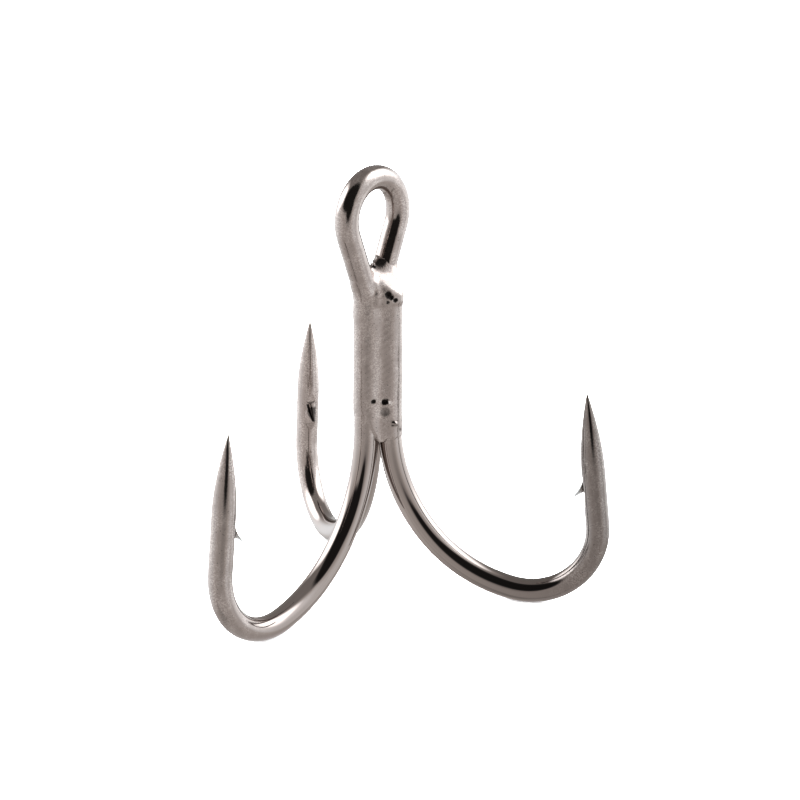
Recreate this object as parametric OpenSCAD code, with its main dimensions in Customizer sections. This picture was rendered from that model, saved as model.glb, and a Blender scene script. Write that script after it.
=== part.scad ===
// Treble fishing hook: one hook whose wire is turned into the line eye, two plain hooks laid
// beside it, and the braze metal that binds the three shanks.
// Millimetres. The origin is the centre of the eye's round end, +Z runs up the shank, the eye
// stands in the XZ plane and the eyed hook points along -X.

/* [Wire] */
// Diameter of the hook wire
wire_d = 2; // [1.8:0.05:2.2]
// Capillary gap between two brazed shanks
braze_gap = 0.1; // [0.04:0.02:0.16]

/* [Shank] */
// Straight shank from the neck of the eye down to the start of the bend
shank_len = 11.5; // [8:0.1:18]
// How far the cut ends of the plain hooks stop below the neck
plain_drop = 0.1; // [0.1:0.05:0.6]

/* [Eye] */
// Centreline radius of the round end of the eye
eye_r = 3.15; // [2.8:0.05:4]
// Height of the eye's centre above the neck, where the shank turns into the eye's first leg
eye_rise = 6.4; // [6:0.1:8]
// Height of the eye's centre above the point where its closing leg turns down
closing_rise = 5; // [4.8:0.1:5.4]
// How far the eye's centre stands off the shank's axis, towards the eyed hook
eye_offset = 0.4; // [0:0.05:0.6]
// Centreline radius of the small reverse bend at the foot of each leg
neck_r = 3; // [2:0.25:4]
// Clearance between the eye's cut end and the cut ends of the plain hooks
eye_end_clear = 0.25; // [0.2:0.05:0.5]

/* [Bend] */
// Centreline radius of the long sweep out of the shank
sweep_r = 14.8; // [11:0.1:18]
// Angle of the long sweep
sweep_angle = 42; // [40:1:60]
// Centreline radius of the belly, the lowest part of the bend
belly_r = 12.7; // [8:0.1:14]
// Angle of the belly
belly_angle = 35.5; // [25:0.5:45]
// Centreline radius of the tight heel under the spear
heel_r = 5.8; // [4:0.1:8]
// How far the spear leans in towards the shank, in degrees
spear_lean = 6; // [0:1:12]

/* [Spear] */
// Spear from the heel to the tip
spear_len = 11.4; // [10.5:0.1:14]
// Length of the ground taper at the tip
taper_len = 6.6; // [5:0.1:7]
// Radius of the blunt left on the tip
tip_r = 0.03; // [0.02:0.01:0.08]

/* [Barb] */
// Distance from the tip back to the barb's root
barb_back = 7.7; // [7.2:0.1:8.2]
// Length of the barb along the spear
barb_len = 1.25; // [0.8:0.05:1.6]
// How far the barb's edge stands out from the wire
barb_rise = 0.75; // [0.5:0.05:1]
// Width of the barb at its root
barb_w = 1; // [0.6:0.05:1.2]
// Depth of the flat that the barb was sliced from
barb_flat = 0.12; // [0.05:0.01:0.2]

/* [Braze] */
// How far the fillets stand out, as a share of the wire's radius
fillet_rise = 0.9; // [0.7:0.02:0.94]
// Height to which the braze fills the crotch of the eye, above the neck
crotch_rise = 2.5; // [1.8:0.1:2.8]

/* [Hidden] */
$fn = 128;

wire_r = wire_d / 2;
spacing = wire_d + braze_gap;      // centre to centre of two neighbouring shanks
shank_ring = spacing / sqrt(3);    // the three shank centres stand on this radius
neck_z = -eye_rise;
bend_z = neck_z - shank_len;
plain_top_z = neck_z - plain_drop;
heel_angle = 180 + spear_lean - sweep_angle - belly_angle;

// Direction in plan of each hook
eyed_dir = 180;
right_dir = -60;
left_dir = 60;

// Offset of each leg of the eye from the eye's centre, at the neck
eyed_leg_x = shank_ring - eye_offset;
closing_leg_x = spacing - eyed_leg_x;
// Lean and length that make a leg a tangent from its foot to the round end
function leg_lean(x, rise) = asin(eye_r / norm([x, rise])) - atan2(x, rise);
function leg_len(x, rise) = sqrt(x * x + rise * rise - eye_r * eye_r);
eyed_lean = leg_lean(eyed_leg_x, eye_rise);
closing_lean = leg_lean(closing_leg_x, closing_rise);
neck_tangent = neck_r * tan(eyed_lean / 2);
closing_tangent = neck_r * tan(closing_lean / 2);
tail_len = eye_rise + plain_drop - eye_end_clear - closing_rise - closing_tangent;
straight_len = shank_len - neck_tangent;
straight_top_z = bend_z + straight_len;

// A run is a list of lengths of wire, each [length, 0] if straight or [radius, angle] if bent.
// Each length that is numbered even is a hair slimmer and laps into its neighbours, so that
// a run is one solid.
slim = 0.004;
lap = 0.12;
// How far a cutting shape runs past what it cuts
spare = 1;
hook_run = [
    [sweep_r, sweep_angle],
    [belly_r, belly_angle],
    [heel_r, heel_angle],
    [spear_len - taper_len, 0]
];
eye_run = [
    [neck_r, eyed_lean],
    [leg_len(eyed_leg_x, eye_rise) - neck_tangent, 0],
    [eye_r, -180 - eyed_lean - closing_lean],
    [leg_len(closing_leg_x, closing_rise) - closing_tangent, 0],
    [neck_r, closing_lean],
    [tail_len, 0]
];

steel = [0.52, 0.49, 0.47];
braze = [0.60, 0.57, 0.55];

// Moves its children to the far end of a length that starts at the origin, heading +Z
module past(piece) {
    side = sign(piece[1]) * piece[0];
    if (piece[1] == 0) translate([0, 0, piece[0]]) children();
    else translate([side, 0, 0]) rotate([0, piece[1], 0]) translate([-side, 0, 0]) children();
}

// One length of wire that starts at the origin, heading +Z and bending towards +X
module length_of(piece, r, over) {
    if (piece[1] == 0) {
        translate([0, 0, -over]) cylinder(h = piece[0] + 2 * over, r = r);
    } else {
        over_angle = over / piece[0] * 180 / PI;
        rotate([0, 0, piece[1] < 0 ? 180 : 0]) translate([piece[0], 0, 0])
            rotate([90, 0, 180]) rotate([0, 0, -over_angle])
                rotate_extrude(angle = abs(piece[1]) + 2 * over_angle)
                    translate([piece[0], 0]) rotate(180) circle(r = r);
    }
}

// Wire along a run from the origin, heading +Z
module wire(run, i = 0) {
    slimmer = i % 2 == 0;
    length_of(run[i], wire_r - (slimmer ? slim : 0), slimmer ? lap : 0);
    if (i + 1 < len(run)) past(run[i]) wire(run, i + 1);
}

// Moves its children to the free end of a run
module at_end(run, i = 0) {
    if (i < len(run)) past(run[i]) at_end(run, i + 1) children();
    else children();
}

// Ground point, a swollen cone heading +Z, with the stub that laps into the spear
module point() {
    base_r = wire_r - slim;
    rotate_extrude() polygon([
        [0, -lap],
        [base_r, -lap],
        [base_r, 0],
        [wire_r * 0.92, taper_len * 0.2],
        [wire_r * 0.7, taper_len * 0.48],
        [wire_r * 0.38, taper_len * 0.76],
        [tip_r, taper_len],
        [0, taper_len]
    ]);
}

// Barb on the +X side of the spear, its root at the origin and its edge down the wire
module barb() {
    sink = wire_r * 0.5;
    crest = 0.08;
    intersection() {
        rotate([90, 0, 0]) translate([0, 0, -barb_w / 2]) linear_extrude(barb_w) polygon([
            [-sink, barb_len],
            [0, barb_len * 0.8],
            [crest, 0],
            [barb_rise, -barb_len],
            [barb_rise * 0.4, -barb_len * 0.85],
            [-barb_flat, -barb_len * 0.45],
            [-sink, -barb_len * 0.3]
        ]);
        translate([-sink * 1.1, 0, 0]) rotate([0, 90, 0]) linear_extrude(sink * 1.2 + barb_rise)
            polygon([
                [-barb_len * 1.1, barb_w * 0.3],
                [0, barb_w * 0.49],
                [barb_len * 1.1, barb_w * 0.2],
                [barb_len * 1.1, -barb_w * 0.2],
                [0, -barb_w * 0.49],
                [-barb_len * 1.1, -barb_w * 0.3]
            ]);
    }
}

// One hook below the start of its bend, hanging from the origin and pointing along +X
module hook() {
    barb_z = taper_len - barb_back;
    flat_len = barb_len * 1.7;
    rotate([180, 0, 0]) {
        difference() {
            wire(hook_run);
            at_end(hook_run) translate([wire_r - barb_flat, -wire_r, barb_z - flat_len])
                cube([wire_d, wire_d, flat_len]);
        }
        at_end(hook_run) {
            point();
            translate([wire_r, 0, barb_z]) barb();
        }
    }
}

// Puts its children on one corner of the shank triangle, facing outwards
module on_ring(direction) {
    translate([eye_offset, 0, 0]) rotate([0, 0, direction]) translate([shank_ring, 0, 0]) children();
}

// The eyed hook's wire above the start of its bend
module eyed_shank() {
    translate([0, 0, bend_z]) cylinder(h = straight_len, r = wire_r);
    translate([0, 0, straight_top_z]) wire(eye_run);
}

// A plain hook's wire above the start of its bend
module plain_shank() {
    translate([0, 0, bend_z]) cylinder(h = plain_top_z - bend_z, r = wire_r);
}

module plain_hook(direction) {
    color(steel) on_ring(direction) {
        plain_shank();
        translate([0, 0, bend_z]) hook();
    }
}

module eyed_hook() {
    color(steel) on_ring(eyed_dir) {
        eyed_shank();
        translate([0, 0, bend_z]) hook();
    }
}

module right_hook() {
    plain_hook(right_dir);
}

module left_hook() {
    plain_hook(left_dir);
}

// The wires that the braze metal wraps
module brazed_wires() {
    on_ring(eyed_dir) eyed_shank();
    for (direction = [right_dir, left_dir]) on_ring(direction) plain_shank();
}

// Centre of a shank in plan
function centre(direction) = [eye_offset, 0] + shank_ring * [cos(direction), sin(direction)];

// Plan of the channel between the three shanks
module core_plan() {
    polygon([centre(eyed_dir), centre(right_dir), centre(left_dir)]);
}

// Plan of the outer groove between two shanks, the second one anticlockwise from the first
module groove_plan(from, to) {
    a = centre(from);
    b = centre(to);
    out = [b[1] - a[1], a[0] - b[0]] / norm(b - a) * wire_r * fillet_rise;
    polygon([a, a + out, b + out, b]);
}

// Braze over a plan, along the straight length that the three shanks share
module braze_bar() {
    color(braze) translate([0, 0, bend_z]) difference() {
        linear_extrude(straight_len) children();
        for (direction = [eyed_dir, right_dir, left_dir])
            on_ring(direction) translate([0, 0, -spare])
                cylinder(h = straight_len + 2 * spare, r = wire_r);
    }
}

module braze_core() {
    braze_bar() core_plan();
}

module right_fillet() {
    braze_bar() groove_plan(eyed_dir, right_dir);
}

module left_fillet() {
    braze_bar() groove_plan(left_dir, eyed_dir);
}

module rear_fillet() {
    braze_bar() groove_plan(right_dir, left_dir);
}

// Braze over the cut ends of the plain hooks, which fills the crotch and closes the eye
module braze_neck() {
    cap_r = wire_r * 0.96;
    foot = plain_top_z - straight_top_z;
    rise = crotch_rise + plain_drop;
    reach = shank_ring * 3;
    color(braze) translate([0, 0, plain_top_z]) difference() {
        intersection() {
            translate([0, 0, -foot]) linear_extrude(foot + rise) {
                core_plan();
                groove_plan(eyed_dir, right_dir);
                groove_plan(right_dir, left_dir);
                groove_plan(left_dir, eyed_dir);
                translate(centre(right_dir)) circle(r = cap_r);
                translate(centre(left_dir)) circle(r = cap_r);
            }
            rotate([90, 0, 90]) translate([0, 0, -reach]) linear_extrude(2 * reach) polygon([
                [-wire_r * 2.1, -spare],
                [-wire_r * 2.1, rise * 0.02],
                [-wire_r * 1.5, rise * 0.22],
                [-wire_r * 0.9, rise * 0.6],
                [-wire_r * 0.55, rise],
                [wire_r * 0.55, rise],
                [wire_r * 0.9, rise * 0.6],
                [wire_r * 1.5, rise * 0.22],
                [wire_r * 2.1, rise * 0.02],
                [wire_r * 2.1, -spare]
            ]);
            rotate([90, 0, 0]) translate([0, 0, -reach]) linear_extrude(2 * reach) polygon([
                [-reach, -spare],
                [-reach, rise * 2],
                [closing_leg_x, rise],
                [closing_leg_x + wire_r * 0.8, rise * 0.12],
                [closing_leg_x + wire_r * 0.8, -spare]
            ]);
        }
        translate([0, 0, -plain_top_z]) brazed_wires();
    }
}

eyed_hook();
right_hook();
left_hook();
braze_core();
right_fillet();
left_fillet();
rear_fillet();
braze_neck();
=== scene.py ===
import math

import bpy
import numpy as np
from mathutils import Matrix, Vector


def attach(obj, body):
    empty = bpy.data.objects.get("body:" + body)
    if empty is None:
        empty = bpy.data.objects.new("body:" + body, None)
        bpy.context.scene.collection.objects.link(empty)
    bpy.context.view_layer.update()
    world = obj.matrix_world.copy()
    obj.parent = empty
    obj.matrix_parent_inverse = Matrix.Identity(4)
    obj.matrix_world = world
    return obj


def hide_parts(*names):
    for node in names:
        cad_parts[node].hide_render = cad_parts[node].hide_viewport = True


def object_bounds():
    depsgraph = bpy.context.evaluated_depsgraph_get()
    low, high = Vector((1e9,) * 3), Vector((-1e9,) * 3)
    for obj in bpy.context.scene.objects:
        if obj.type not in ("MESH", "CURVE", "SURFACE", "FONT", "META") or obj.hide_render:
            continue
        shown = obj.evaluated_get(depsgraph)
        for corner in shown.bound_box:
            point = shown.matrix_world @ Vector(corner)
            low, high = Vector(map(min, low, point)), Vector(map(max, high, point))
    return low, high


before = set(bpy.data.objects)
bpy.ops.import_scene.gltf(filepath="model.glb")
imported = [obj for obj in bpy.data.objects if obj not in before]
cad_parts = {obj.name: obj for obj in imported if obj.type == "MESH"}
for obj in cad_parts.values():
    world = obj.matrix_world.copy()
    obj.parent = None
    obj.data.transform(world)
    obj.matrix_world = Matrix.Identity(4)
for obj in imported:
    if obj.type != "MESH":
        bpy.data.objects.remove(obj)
cad_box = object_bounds()

# Driving dimensions, in millimetres and degrees. The frame's origin is the centre of the eye's
# round end, +Z runs up the shank, and the eyed hook points along -X.
MM = 0.001
WIRE_R = 1.0
SPACING = 2.1           # centre to centre of two neighbouring shanks
SHANK_LEN = 11.5
EYE_R = 3.15            # centreline radius of the eye
EYE_RISE = 6.4          # height of the eye's centre above the neck
CLOSING_RISE = 5.0      # height of the eye's centre above the foot of its closing leg
EYE_OFFSET = 0.4        # the eye's centre stands this far off the shank's axis
NECK_R = 3.0            # radius of the small reverse bend at the foot of each leg
EYE_END_CLEAR = 0.25    # the eye's cut end stops this far above the plain hooks' cut ends
PLAIN_DROP = 0.1        # the plain hooks' cut ends stop this far below the neck
SPEAR_LEN = 11.4
TAPER_LEN = 6.6
TAPER_CURVE = 1.75      # 1 for a straight cone, more for a fuller point
TIP_R = 0.03
END_ROUND = 0.12        # rounding of each wire's cut end
BARB_BACK = 7.7         # from the tip back to the barb's root
BARB_LEN = 1.3
BARB_RISE = 0.95
BARB_W = 1.0
BARB_FLAT = 0.12        # depth of the flat hollow that the barb was cut from
BARB_NICK = 0.1         # depth of the nick at the barb's root
CUT_START = -1.0        # the barb's cut starts and ends this far back from its root
CUT_END = 2.5

# The bend under each shank: (radius, turn) where the wire is bent, (length, 0) where it's straight
HOOK_RUN = [(14.8, -42.0), (12.7, -35.5), (5.8, -108.5), (SPEAR_LEN, 0.0)]

SHANK_RING = SPACING / math.sqrt(3)
NECK_Z = -EYE_RISE
BEND_Z = NECK_Z - SHANK_LEN
PLAIN_TOP_Z = NECK_Z - PLAIN_DROP
DIRECTIONS = {"eyed_hook": 180.0, "right_hook": -60.0, "left_hook": 60.0}

# How the plate differs from hook to hook: painted shade on its spear and on its barb, darker for
# the dimmer reflections each one catches (below zero, painted lightening), how bare the barb is,
# and how far the barb is turned round the wire
SPEAR_PAINTED_SHADE = {"eyed_hook": 0.05, "right_hook": 0.4, "left_hook": -0.12}
BARB_PAINTED_SHADE = {"eyed_hook": 0.0, "right_hook": 0.0, "left_hook": 0.8}
BARB_BARE = {"eyed_hook": 1.0, "right_hook": 1.0, "left_hook": 0.0}
BARB_TWIST = {"eyed_hook": 20.0, "right_hook": 0.0, "left_hook": 0.0}


def smooth(low, high, value):
    """0 up to low, 1 from high, and a smooth step between them."""
    t = np.clip((value - low) / (high - low), 0, 1)
    return t * t * (3 - 2 * t)


# ---------------------------------------------------------------- wires

def follow(length_of_wire, s):
    """Place (x, z) and heading a distance s along one length of wire."""
    x, z, heading, size, turn, _ = length_of_wire
    if turn == 0:
        return x + s * np.sin(heading), z + s * np.cos(heading), heading + 0 * s
    side = math.copysign(size, turn)
    new = heading + s / side
    x_new = x + side * (np.cos(heading) - np.cos(new))
    z_new = z - side * (np.sin(heading) - np.sin(new))
    return x_new, z_new, new


def chain(run, x, z, heading):
    """The lengths of a run, each with its starting place, then the place and heading of its end."""
    lengths = []
    for size, turn in run:
        angle = math.radians(turn)
        long = size * abs(angle) if turn else size
        lengths.append((x, z, heading, size, angle, long))
        x, z, heading = follow(lengths[-1], long)
    return lengths, (x, z, heading)


def along(lengths, stations):
    """Places and headings of a run at an array of distances from its start."""
    out = np.zeros((len(stations), 3))
    start = 0.0
    for one in lengths:
        here = stations >= start - 1e-9
        out[here] = np.stack(follow(one, stations[here] - start), 1)
        start += one[5]
    return out


def leg(x, rise):
    """Lean, straight length and foot tangent of a leg of the eye, whose foot is x beside the eye's
    centre and rise below it."""
    reach = math.hypot(x, rise)
    lean = math.asin(EYE_R / reach) - math.atan2(x, rise)
    tangent = NECK_R * math.tan(lean / 2)
    return math.degrees(lean), math.sqrt(reach * reach - EYE_R * EYE_R) - tangent, tangent


def eye_run():
    """The eyed hook's wire upwards from the straight shank to its cut end."""
    eyed_x = SHANK_RING - EYE_OFFSET
    closing_x = SPACING - eyed_x
    eyed_lean, eyed_len, eyed_tangent = leg(eyed_x, EYE_RISE)
    closing_lean, closing_len, closing_tangent = leg(closing_x, CLOSING_RISE)
    tail = EYE_RISE + PLAIN_DROP - EYE_END_CLEAR - CLOSING_RISE - closing_tangent
    run = [
        (NECK_R, eyed_lean),
        (eyed_len, 0.0),
        (EYE_R, -180.0 - eyed_lean - closing_lean),
        (closing_len, 0.0),
        (NECK_R, closing_lean),
        (tail, 0.0),
    ]
    return run, NECK_Z - eyed_tangent


def wire_lengths(name):
    """All lengths of one hook's wire, from its cut end to its tip, in the hook's own plane."""
    if name == "eyed_hook":
        run, top = eye_run()
        _, (x, z, heading) = chain(run, 0.0, top, 0.0)
        back = [(size, -turn) for size, turn in reversed(run)]
        shank = [(top - BEND_Z, 0.0)]
        return chain(back + shank + HOOK_RUN, x, z, heading + math.pi)[0]
    return chain([(PLAIN_TOP_Z - BEND_Z, 0.0)] + HOOK_RUN, 0.0, PLAIN_TOP_Z, math.pi)[0]


RING_GAP = 0.16         # between the rings along a wire
NEAR_BARB_GAP = 0.05
BARB_GAP = 0.02


def ring_stations(total):
    """Distances of the rings from the cut end, closer together at the barb and at the tip."""
    barb = total - BARB_BACK
    return np.concatenate([
        [0.0, 0.03, 0.07, END_ROUND],
        np.arange(0.25, barb - 2.6, RING_GAP),
        np.arange(barb - 2.6, barb - 0.75, NEAR_BARB_GAP),
        np.arange(barb - 0.75, barb + 0.6, BARB_GAP),
        np.arange(barb + 0.6, barb + 1.4, NEAR_BARB_GAP),
        np.arange(barb + 1.45, total - 1.5, 0.1),
        np.linspace(total - 1.5, total, 40),
    ])


def ring_angles():
    """Angles round the wire, closer together on the inner side, where the barb is."""
    barb_side = np.radians(np.linspace(140, 220, 41))
    rest = np.radians(np.linspace(220, 500, 49))[1:-1]
    return np.concatenate([barb_side, rest])


def wire_radius(stations, total):
    """The wire's radius: a rounded cut end, then full size, then the ground point."""
    to_tip = np.clip((stations - (total - TAPER_LEN)) / TAPER_LEN, 0, 1)
    point = (1 - to_tip ** TAPER_CURVE) * (WIRE_R - TIP_R) + TIP_R
    end = np.clip(stations / END_ROUND, 0, 1)
    return point - END_ROUND * (1 - np.sqrt(1 - (1 - end) ** 2))


# Outline of the barb along the middle of the wire's inner side. Each row is a ring's own place
# back from the root, the place back that it moves to, and its lift out of the wire.
BARB_OUTLINE = np.array([
    [CUT_START, CUT_START, 0.0],
    [-0.6, -0.5, -0.07],
    [-0.45, -0.25, -0.1],
    [-0.2, 0.15, 0.08],
    [0.1, 0.72, 0.46],
    [0.38, BARB_LEN, BARB_RISE],
    [0.42, 1.28, 0.88],
    [0.5, 1.02, 0.45],
    [0.58, 0.76, 0.02],
    [0.62, 0.68, -0.16],
    [0.9, 0.9, -0.16],
    [1.9, 1.9, -0.12],
    [CUT_END, CUT_END, 0.0],
])


def cut_barb(back, inner, across):
    """Lifts the barb and cuts the hollow that it was raised from.
    back is measured from the barb's root towards the bend, inner out of the spear's inner side."""
    hollow_depth = BARB_FLAT * smooth(0.3, 0.62, back) * (1 - smooth(1.8, CUT_END, back))
    nick_depth = BARB_NICK * smooth(CUT_START, -0.5, back) * (1 - smooth(-0.5, 0.1, back))
    hollow = np.minimum(inner, WIRE_R - hollow_depth - nick_depth)
    moved_back = np.interp(back, BARB_OUTLINE[:, 0], BARB_OUTLINE[:, 1])
    lift = np.interp(back, BARB_OUTLINE[:, 0], BARB_OUTLINE[:, 2])
    half = BARB_W * (0.5 - 0.3 * np.clip(lift / BARB_RISE, 0, 1))
    flat = WIRE_R - 0.12 * (across / half) ** 2
    blade = inner + lift + (flat - inner) * np.clip(lift / 0.3, 0, 1)
    raised = np.where(lift < 0, np.minimum(inner, WIRE_R + lift), blade)
    share = 1 - smooth(half - 0.05, half + 0.03, np.abs(across))
    share = share * (back > CUT_START) * (back < CUT_END) * (inner > 0)
    return back + share * (moved_back - back), hollow + share * (raised - hollow)


def wire_mesh(name):
    """Points and faces of one hook's wire, and shares for the plate's look at each point."""
    lengths = wire_lengths(name)
    total = sum(one[5] for one in lengths)
    stations = ring_stations(total)
    angles = ring_angles()
    radius = wire_radius(stations, total)
    s = np.repeat(stations, len(angles))
    inner = -np.outer(radius, np.cos(angles)).ravel()
    across = np.outer(radius, np.sin(angles)).ravel()
    back, inner = cut_barb(total - BARB_BACK - s, inner, across)
    s = total - BARB_BACK - back
    blade = smooth(0.05, 0.2, np.hypot(inner, across) - WIRE_R)
    twist = math.radians(BARB_TWIST[name])
    inner, across = (
        inner * math.cos(twist) - across * math.sin(twist),
        inner * math.sin(twist) + across * math.cos(twist),
    )
    place = along(lengths, np.clip(s, 0, total))
    x = place[:, 0] - inner * np.cos(place[:, 2])
    z = place[:, 1] + inner * np.sin(place[:, 2])
    turn = math.radians(DIRECTIONS[name])
    out = SHANK_RING + x
    points = np.stack([
        EYE_OFFSET + out * math.cos(turn) - across * math.sin(turn),
        out * math.sin(turn) + across * math.cos(turn),
        z,
    ], 1)
    bend_start = total - sum(one[5] for one in lengths[-len(HOOK_RUN):])
    bend_end = total - SPEAR_LEN
    past_shank = smooth(bend_start - 0.5, bend_start + 2.5, s)
    near_spear = smooth(bend_end - 9, bend_end - 4, s)
    # Painted shade: each hook's spear and barb are darkened by a set amount, for the dimmer
    # reflections they catch
    with_painted_shade = smooth(bend_start + 8, bend_end - 1, s)
    shares = {
        "mottle": 1 - past_shank * (1 - near_spear),
        "hook_painted_shade": SPEAR_PAINTED_SHADE[name] * with_painted_shade * (1 - blade) + BARB_PAINTED_SHADE[name] * blade,
        "bare": BARB_BARE[name] * blade,
    }
    return points, tube_faces(len(stations), len(angles)), shares


def tube_faces(rings, around):
    """Quads of a tube, and a face that closes each end."""
    faces = []
    for i in range(rings - 1):
        for j in range(around):
            k = (j + 1) % around
            near, far = i * around, (i + 1) * around
            faces.append((near + j, near + k, far + k, far + j))
    faces.append(tuple(reversed(range(around))))
    faces.append(tuple((rings - 1) * around + j for j in range(around)))
    return faces


# ---------------------------------------------------------------- braze

SKIN = 0.06             # thickness of the braze over the wires
SUNK = 0.16             # where the wires are bare, its surface lies this far inside them
SKIN_TOP = 2.3          # height of the skin's upper edge above the neck
THIN_SIDE = 170         # azimuth where the skin thins out slowly down to its lower edge, and over
THIN_REACH = 1.8        # what height it does so

# Sizes of the braze's fillets: between two shanks at its lower edge, above that and at the plain
# hooks' cut ends, then under the ramp, against the eye's closing leg, and round a bead
TOE_FILLET = 0.12
GROOVE_FILLET = 1.57
NECK_FILLET = 0.82
RAMP_FILLET = 0.35
LEG_FILLET = 1.5
BEAD_FILLET = 0.12

# The ramp at the neck: its crest above the neck, its slope and how that eases, its middle and
# half width along X, and how far it reaches below the plain hooks' cut ends
RAMP_CREST = 2.3
RAMP_SLOPE = 1.75
RAMP_EASE = 0.26
RAMP_X = 0.38
RAMP_HALF = 1.15
RAMP_ROOT = 0.6
RAMP_GROOVE = 1.45      # fillet between the shanks that it runs on from


def shank_centre(name):
    turn = math.radians(DIRECTIONS[name])
    return np.array([EYE_OFFSET + SHANK_RING * math.cos(turn), SHANK_RING * math.sin(turn)])


def blend_min(a, b, k):
    """The nearer of two surfaces, with a fillet of size k where they meet."""
    h = np.clip(k - np.abs(a - b), 0, None) / k
    return np.minimum(a, b) - h * h * k / 4


def blend_max(a, b, k):
    """The further of two surfaces, with a rounding of size k where they meet."""
    return -blend_min(-a, -b, k)


def to_line(p, points):
    """Distance to a line through a few points."""
    best = np.full(len(p), 1e9)
    for a, b in zip(points[:-1], points[1:]):
        d = b - a
        t = np.clip((p - a) @ d / (d @ d), 0, 1)
        best = np.minimum(best, np.linalg.norm(p - a - t[:, None] * d, axis=1))
    return best


def ripple(p, size, seed):
    """A smooth random swell between about -1 and 1, with waves of about the given size."""
    rng = np.random.default_rng(seed)
    total = np.zeros(len(p))
    for _ in range(7):
        wave = rng.normal(size=3) / size * 2.2
        total += np.sin(p @ wave + rng.uniform(0, 2 * math.pi))
    return total / 3.5


def shank_distance(p, name):
    """Distance from one hook's wire below the neck, where it sweeps out into its bend.
    A plain hook's wire starts at its cut end."""
    sweep = HOOK_RUN[0][0]
    below = np.clip(BEND_Z - p[:, 2], 0, 4)    # the braze ends well above this
    out = sweep - np.sqrt(sweep * sweep - below * below)
    turn = math.radians(DIRECTIONS[name])
    centre = shank_centre(name)
    x = p[:, 0] - centre[0] - out * math.cos(turn)
    y = p[:, 1] - centre[1] - out * math.sin(turn)
    side = np.hypot(x, y) - WIRE_R
    if name == "eyed_hook":
        return side
    end = p[:, 2] - PLAIN_TOP_Z
    rounding = 0.25    # of the braze over the cut end
    both = np.maximum(side + rounding, 0) ** 2 + np.maximum(end + rounding, 0) ** 2
    return np.minimum(np.maximum(side, end), -rounding) + np.sqrt(both)


def eye_distance(p):
    """Distance from each of the two legs of the eye, near the neck."""
    run, top = eye_run()
    lengths, _ = chain(run, 0.0, top, 0.0)
    total = sum(one[5] for one in lengths)
    near_neck = ((0.0, 4.5), (total - 4.0, total))
    legs = []
    for low, high in near_neck:
        place = along(lengths, np.linspace(low, high, 14))
        x = shank_centre("eyed_hook")[0] - place[:, 0]
        line = np.stack([x, 0 * x, place[:, 1]], 1)
        legs.append(to_line(p, line) - WIRE_R)
    return legs


def bundle(p, fillet):
    """Distance from the three shank wires, run on without an end and melted together."""
    wires = []
    for name in DIRECTIONS:
        centre = shank_centre(name)
        wires.append(np.hypot(p[:, 0] - centre[0], p[:, 1] - centre[1]) - WIRE_R)
    return blend_min(blend_min(wires[0], wires[1], fillet), wires[2], fillet)


def neck_ramp(p):
    """Braze that slopes from the crotch of the eye down over each plain hook's cut end."""
    out = np.hypot(p[:, 1], 0.25) - 0.3
    crest = NECK_Z + RAMP_CREST - RAMP_SLOPE * out + RAMP_EASE * out * out
    sides = blend_max(bundle(p, RAMP_GROOVE), np.abs(p[:, 0] - RAMP_X) - RAMP_HALF, 0.2)
    ramp_top = blend_max(0.6 * (p[:, 2] - crest), sides, 0.25)
    return blend_max(ramp_top, PLAIN_TOP_Z - RAMP_ROOT - p[:, 2], 0.3)


# Small marks on the braze: azimuth round the shank, height, size, depth (below zero for a bead),
# and how dark the shade painted in and round it is
MARKS = [
    (215.5, -15.36, 0.14, 0.10, 1.0),
    (247.0, -15.50, 0.18, 0.12, 1.0),
    (254.5, -15.64, 0.28, -0.17, 0.0),
    (249.0, -16.35, 0.28, 0.03, 0.5),
    (272.0, -17.45, 0.20, -0.20, 0.0),
    (267.5, -17.60, 0.07, 0.04, 0.8),
    (276.5, -17.62, 0.07, 0.04, 0.8),
    (288.0, -18.15, 0.11, 0.05, 0.5),
    (256.0, -6.35, 0.20, 0.10, 1.0),
    (263.0, -6.58, 0.15, 0.10, 1.0),
    (254.0, -6.95, 0.10, 0.06, 0.9),
    (272.0, -6.82, 0.14, 0.08, 1.0),
    (130.0, -9.0, 0.12, 0.10, 1.0),
    (65.0, -13.2, 0.15, 0.10, 0.9),
    (20.0, -16.4, 0.30, -0.08, 0.0),
    (100.0, -17.4, 0.22, -0.12, 0.0),
    (15.0, -7.4, 0.18, 0.10, 0.9),
]
# Beads of braze in the crotch of the eye: place and radius
BEADS = [
    (-0.10, -0.22, -4.00, 0.26),
    (0.25, 0.20, -3.95, 0.24),
]


def mark_reach(p, mark):
    """How far each point is from a mark, as a multiple of the mark's size.
    The hidden channel inside the shanks has no marks."""
    azimuth, height, size = mark[:3]
    x, y = p[:, 0] - EYE_OFFSET, p[:, 1]
    off = (np.arctan2(y, x) - math.radians(azimuth) + math.pi) % (2 * math.pi) - math.pi
    inside = 9.0 * (np.hypot(x, y) < 1.0)
    return np.hypot(off * np.hypot(x, y), p[:, 2] - height) / size + inside


def marks(p):
    """Depth of the pinholes, pits and beads."""
    return sum(mark[3] * np.exp(-1.5 * mark_reach(p, mark) ** 2) for mark in MARKS)


def braze_painted_shade(p):
    """How dark the shade painted on the braze is: in its pits, and under its beads."""
    uneven = 0.12 * ripple(p, 0.15, 7)
    level = np.zeros(len(p))
    for mark in MARKS:
        level = np.maximum(level, mark[4] * (1 - smooth(1.3, 1.6, mark_reach(p, mark) + uneven)))
    # Painted shadow under each bead
    for x, y, z, radius in BEADS:
        below = np.linalg.norm(p - np.array([x + 0.05, y, z - radius]), axis=1) / radius
        level = np.maximum(level, 1 - smooth(0.4, 0.8, below + uneven))
    return level


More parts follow.
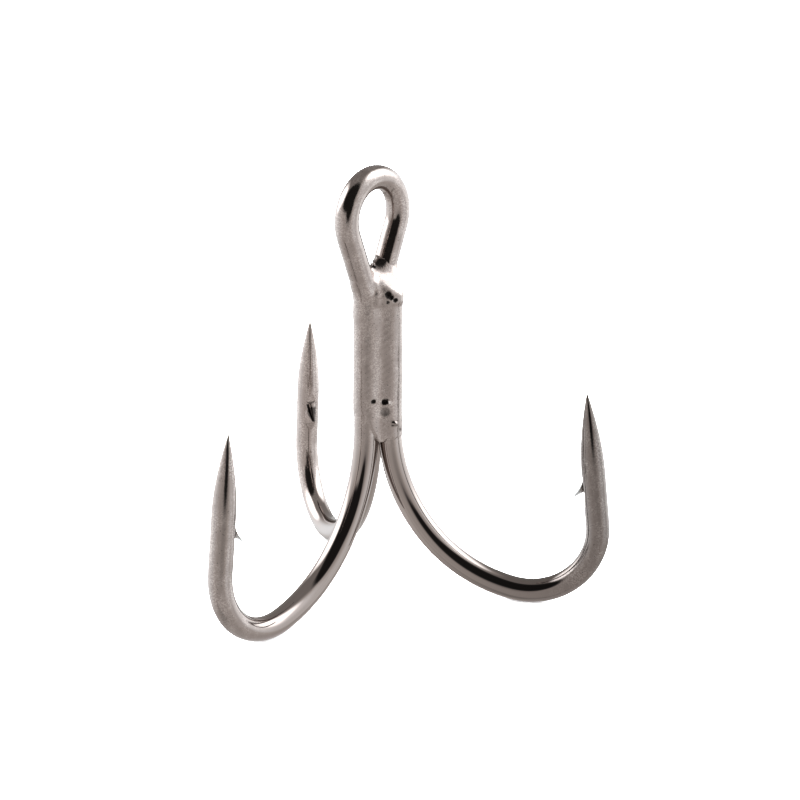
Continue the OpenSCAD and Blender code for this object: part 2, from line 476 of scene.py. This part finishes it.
# The braze's lower edge: azimuth round the shank and height
TOE_EDGE = np.array([
    [0, -19.1], [30, -18.6], [60, -18.3], [90, -18.5], [120, -19.0], [150, -18.3], [180, -17.6],
    [200, -18.1], [213, -18.9], [225, -19.2], [248, -19.25], [262, -18.9], [300, -18.7],
    [335, -18.9], [360, -19.1],
])


def braze_field(p):
    """Below zero inside the braze, a skin that wraps the shanks, fills their grooves and
    buries the cut ends in the crotch of the eye."""
    z = p[:, 2]
    around = np.degrees(np.arctan2(p[:, 1], p[:, 0] - EYE_OFFSET)) % 360
    toe = np.interp(around, TOE_EDGE[:, 0], TOE_EDGE[:, 1]) + 0.08 * ripple(p, 1.0, 3)
    thinning = THIN_REACH * smooth(0.3, 0.95, np.cos(np.radians(around - THIN_SIDE)))
    fade = smooth(toe - 0.2, toe + 0.05 + thinning, z)
    fillet = TOE_FILLET + (GROOVE_FILLET - TOE_FILLET) * smooth(toe - 0.1, toe + 0.35, z)
    at_neck = smooth(PLAIN_TOP_Z + 0.2, PLAIN_TOP_Z + 1.2, z)
    fillet = fillet - (GROOVE_FILLET - NECK_FILLET) * at_neck
    eyed, right, left = (shank_distance(p, name) for name in DIRECTIONS)
    leg_a, leg_b = eye_distance(p)
    eyed = np.where(z > NECK_Z - 0.7, leg_a, eyed)
    surface = blend_min(blend_min(eyed, right, fillet), left, fillet)
    ramp_and_leg = blend_min(leg_b, neck_ramp(p) + 0.02, LEG_FILLET)
    surface = blend_min(surface, ramp_and_leg, RAMP_FILLET)
    for x, y, height, radius in BEADS:
        bead = np.linalg.norm(p - np.array([x, y, height]), axis=1) - radius
        surface = blend_min(surface, bead, BEAD_FILLET)
    top = NECK_Z + SKIN_TOP + 0.25 * ripple(p, 1.2, 5)
    skin = (SKIN + SUNK) * fade * (1 - smooth(top - 1.6, top + 0.3, z)) - SUNK
    swell = 0.016 * ripple(p, 1.0, 1) + 0.007 * ripple(p, 0.4, 2)
    cut = np.maximum(toe - 0.45 - z, z - top - 0.6)
    return np.maximum(surface - skin - swell + marks(p), cut)


def surface_net(field, low, high, step):
    """Quads over the surface where a field of distances is zero, with points drawn onto it."""
    axes = [np.arange(a, b + step, step) for a, b in zip(low, high)]
    grid = np.stack(np.meshgrid(*axes, indexing="ij"), -1)
    shape = grid.shape[:3]
    value = field(grid.reshape(-1, 3)).reshape(shape)
    inside = value < 0
    total = np.zeros(tuple(n - 1 for n in shape) + (3,))
    count = np.zeros(tuple(n - 1 for n in shape))
    crossings = []
    for axis in range(3):
        first = [slice(None)] * 3
        second = [slice(None)] * 3
        first[axis] = slice(0, -1)
        second[axis] = slice(1, None)
        a, b = value[tuple(first)], value[tuple(second)]
        cross = inside[tuple(first)] != inside[tuple(second)]
        index = np.argwhere(cross)
        share = a[cross] / (a[cross] - b[cross])
        place = grid[tuple(index.T)].copy()
        place[:, axis] += share * step
        crossings.append((axis, index, a[cross] < 0))
        others = [i for i in range(3) if i != axis]
        for u in (0, 1):
            for v in (0, 1):
                cell = index.copy()
                cell[:, others[0]] -= u
                cell[:, others[1]] -= v
                np.add.at(total, tuple(cell.T), place)
                np.add.at(count, tuple(cell.T), 1)
    used = count > 0
    number = np.full(count.shape, -1)
    number[used] = np.arange(used.sum())
    points = total[used] / count[used][:, None]
    faces = []
    for axis, index, solid_first in crossings:
        others = [(axis + 1) % 3, (axis + 2) % 3]
        corners = []
        for u, v in ((0, 0), (1, 0), (1, 1), (0, 1)):
            cell = index.copy()
            cell[:, others[0]] -= u
            cell[:, others[1]] -= v
            corners.append(number[tuple(cell.T)])
        quads = np.stack(corners, 1)
        quads[~solid_first] = quads[~solid_first][:, ::-1]
        faces.append(quads)
    for _ in range(3):
        points = onto_surface(field, points, step)
    return points, np.concatenate(faces)


def onto_surface(field, points, step):
    """One step of each point along the field's slope to its zero."""
    e = step * 0.2
    value = field(points)
    slope = np.stack([
        (field(points + e * axis) - field(points - e * axis)) / (2 * e) for axis in np.eye(3)
    ], 1)
    size = np.maximum((slope ** 2).sum(1), 0.1)
    move = -(value / size)[:, None] * slope
    reach = np.linalg.norm(move, axis=1, keepdims=True)
    return points + move * np.minimum(1, 0.5 * step / np.maximum(reach, 1e-9))


# ---------------------------------------------------------------- materials

def node(tree, kind, settings=None, **inputs):
    """Adds a shader node. An input is named, or numbered as i0, i1 and so on, and is given a value
    or another node's output socket."""
    new = tree.nodes.new(kind)
    for key, value in (settings or {}).items():
        setattr(new, key, value)
    for key, value in inputs.items():
        numbered = key[0] == "i" and key[1:].isdigit()
        socket = new.inputs[int(key[1:]) if numbered else key]
        if isinstance(value, bpy.types.NodeSocket):
            tree.links.new(value, socket)
        else:
            socket.default_value = value
    return new


def calc(tree, operation, a, b=0.0):
    """One step of arithmetic on numbers or sockets."""
    return node(tree, "ShaderNodeMath", {"operation": operation}, i0=a, i1=b).outputs[0]


def ramp(tree, value, low, high, to_low=0.0, to_high=1.0):
    """Smooth step of a value from one range to another."""
    settings = {"interpolation_type": "SMOOTHSTEP"}
    return node(tree, "ShaderNodeMapRange", settings, i0=value, i1=low, i2=high, i3=to_low,
                i4=to_high).outputs[0]


def noise_at(tree, place, stretch, scale, detail=3.0, rough=0.55):
    """Noise in millimetre space; stretch squeezes it along X, Y and Z."""
    settings = {"operation": "MULTIPLY"}
    size = tuple(v * scale / MM for v in stretch)
    vector = node(tree, "ShaderNodeVectorMath", settings, i0=place, i1=size).outputs[0]
    return node(tree, "ShaderNodeTexNoise", {}, Vector=vector, Scale=1.0, Detail=detail,
                Roughness=rough).outputs["Fac"]


def colour_mix(tree, share, a, b):
    """Colour a where share is 0, and b where it's 1."""
    mixed = node(tree, "ShaderNodeMix", {"data_type": "RGBA"}, i0=share, i6=a, i7=b)
    return mixed.outputs[2]


PLATE_DARK = (0.262, 0.219, 0.20, 1)
PLATE_LIGHT = (0.46, 0.40, 0.37, 1)
PIT_COLOUR = (0.05, 0.045, 0.04, 1)
BARE_COLOUR = (0.5, 0.49, 0.48, 1)
# Near-black painted shade for the braze's pits and under its beads
PAINTED_SHADE_COLOUR = (0.012, 0.01, 0.009, 1)
BUMP_HEIGHT = 0.005     # millimetres
ROUGHENED = 0.35        # added to the roughness where shade is painted on the braze, and of a fresh cut


def share_of(tree, name):
    """One of the shares that a mesh holds at each point."""
    return node(tree, "ShaderNodeAttribute", {"attribute_name": name}).outputs["Fac"]


def scaled(tree, value, factor):
    return calc(tree, "MULTIPLY", value, factor)


def nickel_plate(name, mirror, grainy):
    """Black-nickel plate: mirror-like where it's polished, with grain, stains, tiny pits and fine
    draw lines elsewhere. mirror is the roughness where it's polished, and grainy how much more it
    has elsewhere. Gives the material, its tree, and its colour and roughness so far."""
    material = bpy.data.materials.new(name)
    material.use_nodes = True
    tree = material.node_tree
    place = node(tree, "ShaderNodeTexCoord").outputs["Object"]
    mottle = share_of(tree, "mottle")
    grain = noise_at(tree, place, (1, 1, 1), 7.0, 4.0, 0.6)
    cloud = noise_at(tree, place, (1, 1, 0.6), 0.9, 3.0, 0.55)
    lines = noise_at(tree, place, (1, 1, 0.08), 9.0, 2.0, 0.5)
    coarse = noise_at(tree, place, (1, 1, 1), 7.0, 1.0, 0.5)

    stain = calc(tree, "MULTIPLY", ramp(tree, grain, 0.42, 0.62), ramp(tree, cloud, 0.35, 0.65))
    share = calc(tree, "MULTIPLY", mottle, scaled(tree, stain, 0.75))
    share = calc(tree, "ADD", share, scaled(tree, cloud, 0.12))
    colour = colour_mix(tree, share, PLATE_DARK, PLATE_LIGHT)
    pits = calc(tree, "MULTIPLY", ramp(tree, coarse, 0.66, 0.72), scaled(tree, mottle, 0.6))
    colour = colour_mix(tree, pits, colour, PIT_COLOUR)

    worn = calc(tree, "ADD", scaled(tree, grain, 0.6), scaled(tree, lines, 0.4))
    rough = calc(tree, "MULTIPLY", mottle, scaled(tree, worn, grainy))
    rough = calc(tree, "ADD", rough, mirror)

    height = calc(tree, "ADD", calc(tree, "MULTIPLY", grain, mottle), scaled(tree, lines, 0.12))
    bump = node(tree, "ShaderNodeBump", {}, Strength=1.0, Distance=BUMP_HEIGHT * MM, Height=height)
    tree.links.new(bump.outputs[0], tree.nodes["Principled BSDF"].inputs["Normal"])
    return material, tree, colour, rough


def plated_wire():
    """Plate with painted shade on the hooks' spears and one barb, darker on some and lighter on
    one, and cut away on the barbs.
    """
    material, tree, colour, rough = nickel_plate("plated_wire", mirror=0.03, grainy=0.14)
    shader = tree.nodes["Principled BSDF"]
    # Painted shade: the plate's colour is scaled down by each hook's set darkening
    painted_shade_scale = calc(tree, "SUBTRACT", 1.0, share_of(tree, "hook_painted_shade"))
    with_painted_shade = node(tree, "ShaderNodeVectorMath", {"operation": "SCALE"}, i0=colour, Scale=painted_shade_scale)
    bare = share_of(tree, "bare")
    colour = colour_mix(tree, bare, with_painted_shade.outputs[0], BARE_COLOUR)
    rough = calc(tree, "ADD", rough, scaled(tree, bare, ROUGHENED))
    metallic = calc(tree, "SUBTRACT", 1.0, scaled(tree, bare, 0.06))
    tree.links.new(colour, shader.inputs["Base Color"])
    tree.links.new(rough, shader.inputs["Roughness"])
    tree.links.new(metallic, shader.inputs["Metallic"])
    return material


def plated_braze():
    """Plate on the braze, with painted shade in its pits and under its beads."""
    material, tree, colour, rough = nickel_plate("plated_braze", mirror=0.05, grainy=0.2)
    shader = tree.nodes["Principled BSDF"]
    # Painted shade: near-black mixed into the colour in the pits and under the beads
    painted_shade = share_of(tree, "braze_painted_shade")
    colour = colour_mix(tree, painted_shade, colour, PAINTED_SHADE_COLOUR)
    rough = calc(tree, "ADD", rough, scaled(tree, painted_shade, ROUGHENED))
    tree.links.new(colour, shader.inputs["Base Color"])
    tree.links.new(rough, shader.inputs["Roughness"])
    shader.inputs["Metallic"].default_value = 1.0
    return material


def floor_paint():
    """Matt off-white paint."""
    material = bpy.data.materials.new("studio_floor")
    material.use_nodes = True
    tree = material.node_tree
    shader = tree.nodes["Principled BSDF"]
    place = node(tree, "ShaderNodeTexCoord").outputs["Object"]
    grain = noise_at(tree, place, (1, 1, 1), 0.4, 2.0)
    colour = colour_mix(tree, grain, (0.90, 0.90, 0.90, 1), (0.93, 0.93, 0.93, 1))
    tree.links.new(colour, shader.inputs["Base Color"])
    shader.inputs["Roughness"].default_value = 0.9
    shader.inputs["Specular IOR Level"].default_value = 0.1
    return material


# ---------------------------------------------------------------- pieces

# The box that the braze is built in, and its grid's step
BRAZE_LOW = (-2.9, -2.9, -20.0)
BRAZE_HIGH = (3.6, 2.9, -2.6)
GRID_STEP = 0.08
WIRE_SHARP_ANGLE = 50


def add_object(name, points, faces, material, shares=None, sharp=None):
    """A mesh object from points in millimetres; shares are named values at each point."""
    mesh = bpy.data.meshes.new(name)
    mesh.from_pydata((np.asarray(points) * MM).tolist(), [], [tuple(map(int, f)) for f in faces])
    mesh.materials.append(material)
    for polygon in mesh.polygons:
        polygon.use_smooth = True
    for key, values in (shares or {}).items():
        values = np.asarray(values, np.float32)
        mesh.attributes.new(key, "FLOAT", "POINT").data.foreach_set("value", values)
    if sharp:
        mesh.set_sharp_from_angle(angle=math.radians(sharp))
    mesh.validate()
    new = bpy.data.objects.new(name, mesh)
    bpy.context.scene.collection.objects.link(new)
    return new


def add_wires(material):
    """The three hooks, each one wire."""
    for name in DIRECTIONS:
        points, faces, shares = wire_mesh(name)
        piece = name.replace("hook", "wire")
        wire = add_object(piece, points, faces, material, shares, sharp=WIRE_SHARP_ANGLE)
        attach(wire, "root")
        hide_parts(name)


def add_braze(material):
    """The braze outside the shanks, and the look of its hidden core."""
    step = GRID_STEP
    points, faces = surface_net(braze_field, BRAZE_LOW, BRAZE_HIGH, step)
    shares = {"mottle": np.ones(len(points)), "braze_painted_shade": braze_painted_shade(points)}
    braze = add_object("braze", points, faces, material, shares)
    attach(braze, "root")
    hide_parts("right_fillet", "left_fillet", "rear_fillet", "braze_neck")
    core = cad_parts["braze_core"]
    core.data.materials.clear()
    core.data.materials.append(material)


# ---------------------------------------------------------------- studio

CAMERA_AZIMUTH = -49.846
CAMERA_ELEVATION = 18.913
CAMERA_DISTANCE = 220.0
CAMERA_LENS = 119.607
CAMERA_ROLL = 0.268
AIM = (1.721, -1.542, -15.827)


def add_camera():
    """The camera, looking at AIM from CAMERA_DISTANCE away."""
    azimuth, elevation, roll = map(math.radians, (CAMERA_AZIMUTH, CAMERA_ELEVATION, CAMERA_ROLL))
    flat = math.cos(elevation)
    back = Vector((math.sin(azimuth) * flat, -math.cos(azimuth) * flat, math.sin(elevation)))
    right = Vector((math.cos(azimuth), math.sin(azimuth), 0))
    up = back.cross(right)
    side = right * math.cos(roll) + up * math.sin(roll)
    rise = up * math.cos(roll) - right * math.sin(roll)
    camera = bpy.data.cameras.new("camera")
    camera.sensor_width = 36.0
    camera.lens = CAMERA_LENS
    camera.clip_start = 0.01
    camera.clip_end = 20.0
    holder = bpy.data.objects.new("camera", camera)
    bpy.context.scene.collection.objects.link(holder)
    turn = Matrix((side, rise, back)).transposed().to_4x4()
    holder.matrix_world = Matrix.Translation((Vector(AIM) + back * CAMERA_DISTANCE) * MM) @ turn
    bpy.context.scene.camera = holder


def add_floor():
    """A large round floor that the hook's bends stand on."""
    ground = cad_box[0].z / MM
    around = np.linspace(0, 2 * math.pi, 97)[:-1]
    rings = [3.0, 10.0, 30.0, 60.0, 90.0, 120.0]
    points = [(r * math.cos(a), r * math.sin(a), ground) for r in rings for a in around]
    points.append((0, 0, ground))
    n = len(around)
    faces = []
    for i in range(len(rings) - 1):
        for j in range(n):
            k = (j + 1) % n
            faces.append((i * n + j, (i + 1) * n + j, (i + 1) * n + k, i * n + k))
    for j in range(n):
        faces.append((len(points) - 1, j, (j + 1) % n))
    floor = add_object("studio_floor", points, faces, floor_paint())
    floor.visible_glossy = False    # the studio's patches say what the metal sees below it


# The studio, as round patches of light and dark that the metal mirrors: azimuth from the camera,
# elevation, angular radius, width of the soft edge, brightness. Later ones cover earlier ones.
ROOM_TINT = (1.0, 0.99, 0.98, 1)
LAMP_TINT = (0.95, 1.01, 1.05, 1)
DIM_ROOM = 0.48         # brightness behind the patches, above and below the table's edge
TABLE_LIGHT = 0.62
FLOOR_LIGHT = 8.0       # brightness that lights the floor and fills the background
PATCHES = [
    (7, 0, 63, 4, 0.93),         # the table round the camera
    (-92, -11, 42, 25, 1.5),
    (125, -3, 33, 12, 2.4),      # the lamps' light on the table
    (127, -63, 41, 7, 0.95),
    (-138, -17, 20, 14, 1.6),
    (72, -14, 22, 22, 1.7),
    (-117, -2, 27, 18, 2.3),
    (96, 31, 30, 14, 2.2),
    (12, 12, 26, 13, 0.5),       # the camera
    (10, 13, 20, 4, 0.03),
    (26, 14, 12, 4, 0.03),
    (-31, 43, 29, 5, 0.03),      # black cloth over the camera
    (-12, 44, 33, 5, 0.03),
    (8, 39, 31, 4, 0.03),
    (-96, 32, 18, 7, 5.2),       # left softbox
    (-113, 21, 20, 7, 5.2),
    (99, 42, 18, 6, 5.2),        # right softbox
    (112, 27, 22, 8, 5.2),
]


def patch_share(tree, way, azimuth, elevation, radius, soft):
    """1 inside a round patch of the studio, 0 outside it."""
    turn = math.radians(azimuth + CAMERA_AZIMUTH - 90)
    high = math.radians(elevation)
    centre = (math.cos(turn) * math.cos(high), math.sin(turn) * math.cos(high), math.sin(high))
    dot = node(tree, "ShaderNodeVectorMath", {"operation": "DOT_PRODUCT"}, i0=way, i1=centre)
    angle = calc(tree, "ARCCOSINE", dot.outputs["Value"])
    return ramp(tree, angle, math.radians(radius - soft), math.radians(radius + soft), 1.0, 0.0)


def float_mix(tree, share, a, b):
    """Number a where share is 0, and b where it's 1."""
    return node(tree, "ShaderNodeMix", {"data_type": "FLOAT"}, i0=share, i2=a, i3=b).outputs[0]


def add_light():
    """The studio all round: patches that the metal mirrors, and plain light for everything else."""
    world = bpy.data.worlds.new("studio")
    bpy.context.scene.world = world
    world.use_nodes = True
    tree = world.node_tree
    way = node(tree, "ShaderNodeTexCoord").outputs["Generated"]
    height = node(tree, "ShaderNodeSeparateXYZ", {}, i0=way).outputs[2]
    light = ramp(tree, height, -0.07, -0.02, TABLE_LIGHT, DIM_ROOM)
    for azimuth, elevation, radius, soft, bright in PATCHES:
        share = patch_share(tree, way, azimuth, elevation, radius, soft)
        light = float_mix(tree, share, light, bright)
    path = node(tree, "ShaderNodeLightPath").outputs
    plain = calc(tree, "MAXIMUM", path["Is Camera Ray"], path["Is Diffuse Ray"])
    seen = float_mix(tree, plain, light, FLOOR_LIGHT)
    background = tree.nodes["Background"]
    tree.links.new(seen, background.inputs["Strength"])
    lamp_lit = ramp(tree, light, 0.9, 1.8)
    tint = colour_mix(tree, lamp_lit, ROOM_TINT, LAMP_TINT)
    colour = colour_mix(tree, plain, tint, (1, 1, 1, 1))
    tree.links.new(colour, background.inputs["Color"])


scene = bpy.context.scene
scene.view_settings.view_transform = "Standard"
add_camera()
add_wires(plated_wire())
add_braze(plated_braze())
add_floor()
add_light()
